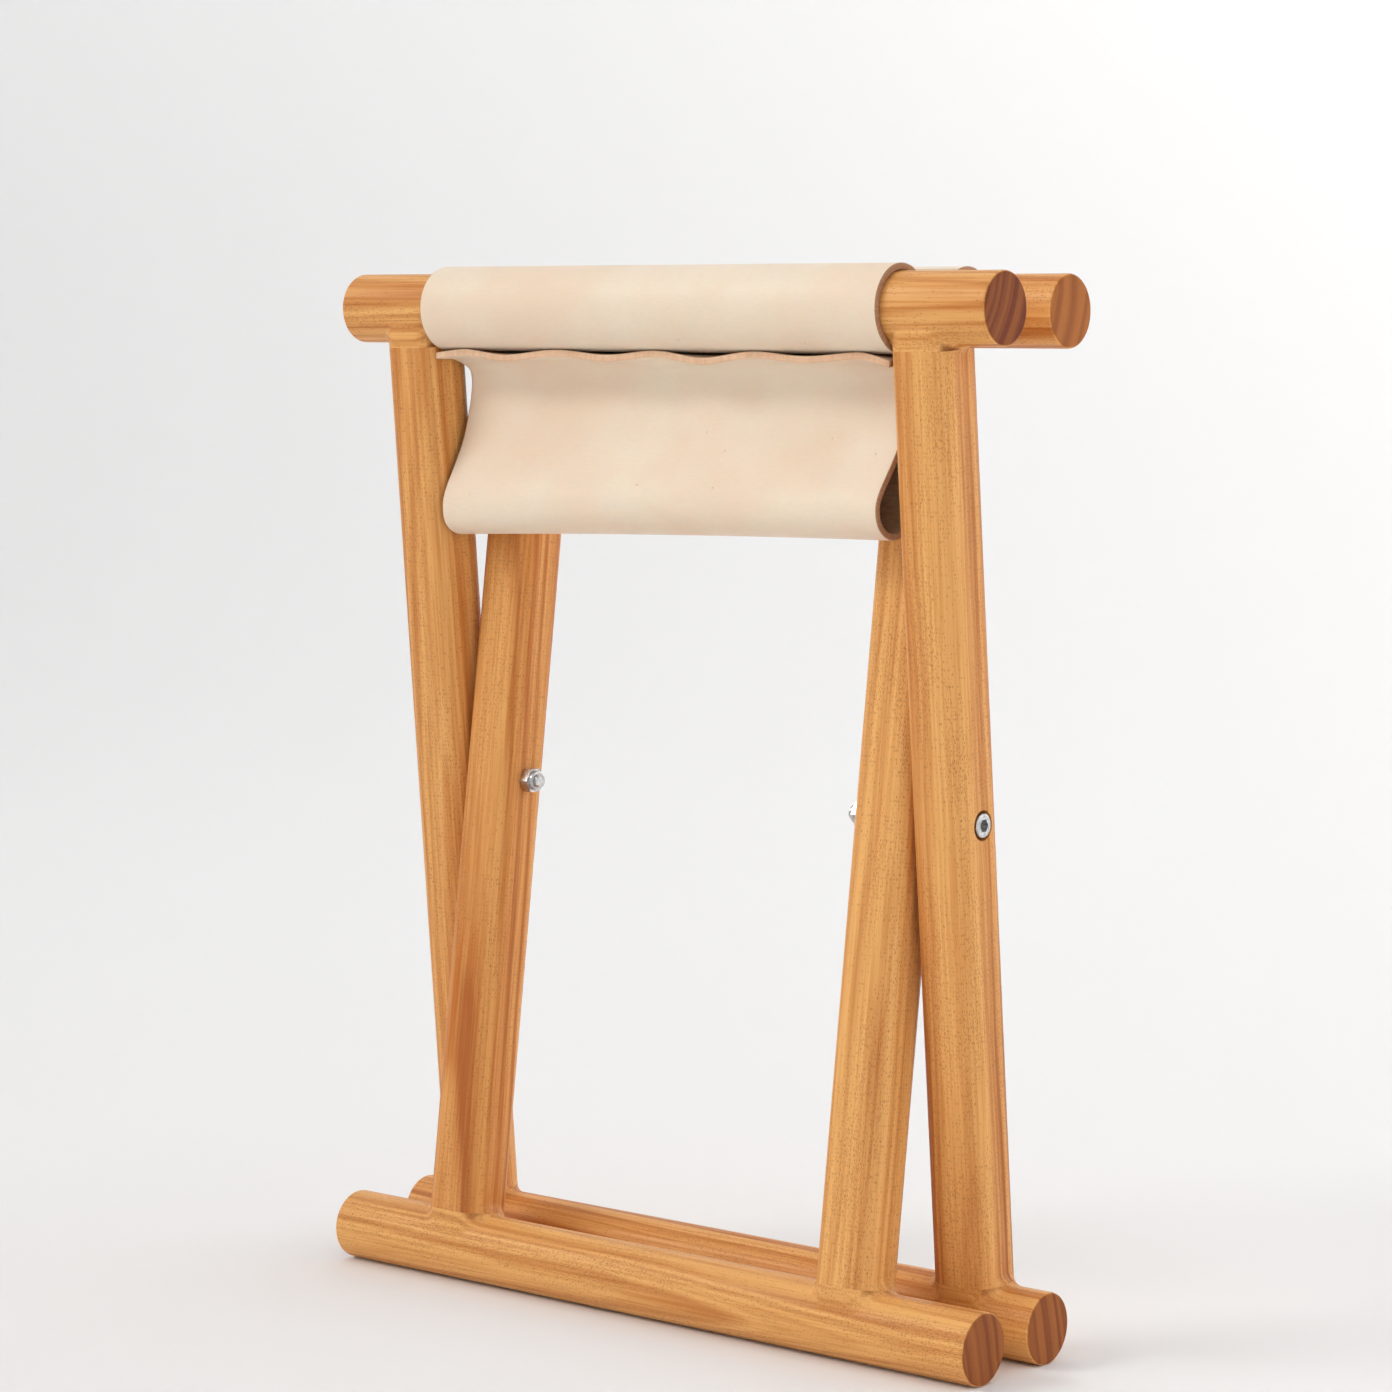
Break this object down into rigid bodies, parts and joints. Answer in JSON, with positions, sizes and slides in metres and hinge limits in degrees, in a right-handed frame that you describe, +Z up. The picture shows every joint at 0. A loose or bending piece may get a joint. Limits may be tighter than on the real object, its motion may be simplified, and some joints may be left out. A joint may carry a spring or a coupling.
{
  "type": "folding luggage rack stool",
  "caption": "Small folding X-frame rack or stool with round hardwood rails, rounded square legs bolted at mid-height, and a natural leather belt seat, shown folded.",
  "frame": {"origin": "on the floor under the middle of the fold axis, at the centre of the folded footprint", "axes": "+X along the rails to the right, -Y the front, +Z up"},
  "size_m": [0.344, 0.0824, 0.4462],
  "materials": {
    "oiled_wood": "oiled honey-brown hardwood, satin",
    "dowel_wood": "plain beech dowel",
    "leather": "natural vegetable-tanned leather, smooth matt",
    "bright_steel": "stainless steel, satin",
    "tack_steel": "plain steel tacks"
  },
  "bodies": {
    "outer_frame": {"outer_top_rail": "oiled_wood", "outer_foot_rail": "oiled_wood", "outer_leg_left": "oiled_wood", "outer_leg_right": "oiled_wood", "outer_top_dowels": "dowel_wood", "outer_foot_dowels": "dowel_wood", "pivot_bolt_left": "bright_steel", "pivot_bolt_right": "bright_steel", "lock_nut_left": "bright_steel", "lock_nut_right": "bright_steel", "leg_washer_left": "bright_steel", "leg_washer_right": "bright_steel", "seat_wrap_front": "leather", "seat_lap": "leather", "seat_tacks": "tack_steel"},
    "inner_frame": {"inner_top_rail": "oiled_wood", "inner_foot_rail": "oiled_wood", "inner_leg_left": "oiled_wood", "inner_leg_right": "oiled_wood", "inner_top_dowels": "dowel_wood", "inner_foot_dowels": "dowel_wood", "seat_wrap_rear": "leather"},
    "sling_front": {"seat_upper_front": "leather", "seat_lower_front": "leather"},
    "sling_rear": {"seat_upper_rear": "leather", "seat_lower_rear": "leather"}
  },
  "joints": [
    {"name": "fold", "type": "hinge", "parent": "outer_frame", "child": "inner_frame", "pos_m": [0, 0, 0.2215], "axis": [-1, 0, 0], "range_deg": [0, 43]},
    {"name": "sling_front_lift", "type": "hinge", "parent": "outer_frame", "child": "sling_front", "pos_m": [0, 0.14362, 0.15876], "axis": [-1, 0, 0], "range_deg": [0, 21.5], "deforming": ["seat_upper_front", "seat_lower_front"]},
    {"name": "sling_rear_lift", "type": "hinge", "parent": "inner_frame", "child": "sling_rear", "pos_m": [0, -0.15662, 0.22724], "axis": [1, 0, 0], "range_deg": [0, 21.5], "deforming": ["seat_upper_rear", "seat_lower_rear"]}
  ],
  "couplings": [
    {"joint": "sling_front_lift", "follows": "fold", "ratio": 0.5},
    {"joint": "sling_rear_lift", "follows": "fold", "ratio": 0.5}
  ]
}
